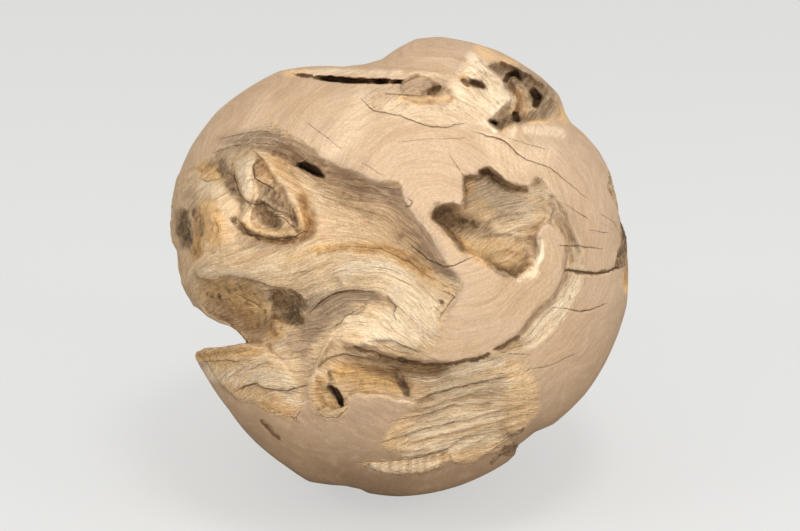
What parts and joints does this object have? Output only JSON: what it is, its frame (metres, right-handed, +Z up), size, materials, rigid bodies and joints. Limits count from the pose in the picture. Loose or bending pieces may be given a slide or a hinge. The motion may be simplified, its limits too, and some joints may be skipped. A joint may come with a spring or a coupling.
{
  "type": "root wood ball",
  "caption": "Solid ball of weathered tree root, sanded to a rough sphere around natural hollows, caves and cracks, with a small flat to stand on.",
  "frame": {"origin": "centre of the flat that the ball stands on", "axes": "+Z up, -Y towards the side with the deepest hollows, +X to the right of someone who looks at that side"},
  "size_m": [0.5019, 0.4996, 0.4953],
  "materials": {
    "root_wood": "bleached, sanded, unsealed"
  },
  "bodies": {
    "root": {"root_ball": "root_wood"}
  },
  "joints": []
}
